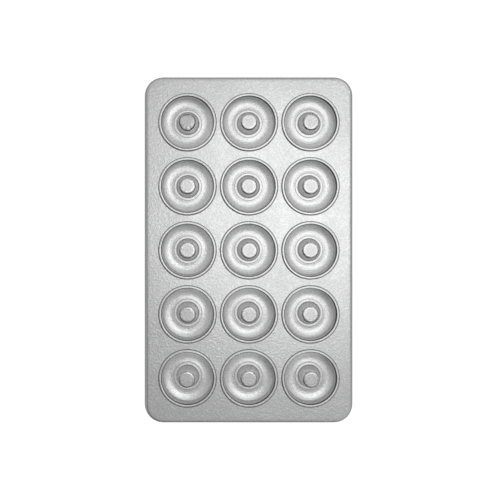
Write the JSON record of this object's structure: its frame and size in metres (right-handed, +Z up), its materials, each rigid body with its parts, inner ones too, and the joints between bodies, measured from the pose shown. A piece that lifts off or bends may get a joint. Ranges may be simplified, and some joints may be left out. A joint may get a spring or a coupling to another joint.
{
  "type": "donut pan",
  "caption": "Rectangular metal baking pan with rows of ring-shaped cups, each with a cone in its middle, seamed into a flat sheet with a folded, wired edge.",
  "frame": {"origin": "under the middle of the pan, on the surface that the cups stand on", "axes": "+Y along the pan's length towards row 1, +X across it to the right-hand column, +Z up out of the cups"},
  "size_m": [0.3328, 0.5528, 0.0232],
  "materials": {
    "top_sheet": "satin, aluminised sheet",
    "cups": "satin, drawn aluminised sheet",
    "cones": "satin, drawn aluminised sheet",
    "rim_wire": "drawn wire"
  },
  "bodies": {
    "root": {"top_sheet": "top_sheet", "rim_wire": "rim_wire", "cup_row1_left": "cups", "cone_row1_left": "cones", "cup_row1_middle": "cups", "cone_row1_middle": "cones", "cup_row1_right": "cups", "cone_row1_right": "cones", "cup_row2_left": "cups", "cone_row2_left": "cones", "cup_row2_middle": "cups", "cone_row2_middle": "cones", "cup_row2_right": "cups", "cone_row2_right": "cones", "cup_row3_left": "cups", "cone_row3_left": "cones", "cup_row3_middle": "cups", "cone_row3_middle": "cones", "cup_row3_right": "cups", "cone_row3_right": "cones", "cup_row4_left": "cups", "cone_row4_left": "cones", "cup_row4_middle": "cups", "cone_row4_middle": "cones", "cup_row4_right": "cups", "cone_row4_right": "cones", "cup_row5_left": "cups", "cone_row5_left": "cones", "cup_row5_middle": "cups", "cone_row5_middle": "cones", "cup_row5_right": "cups", "cone_row5_right": "cones"}
  },
  "joints": []
}
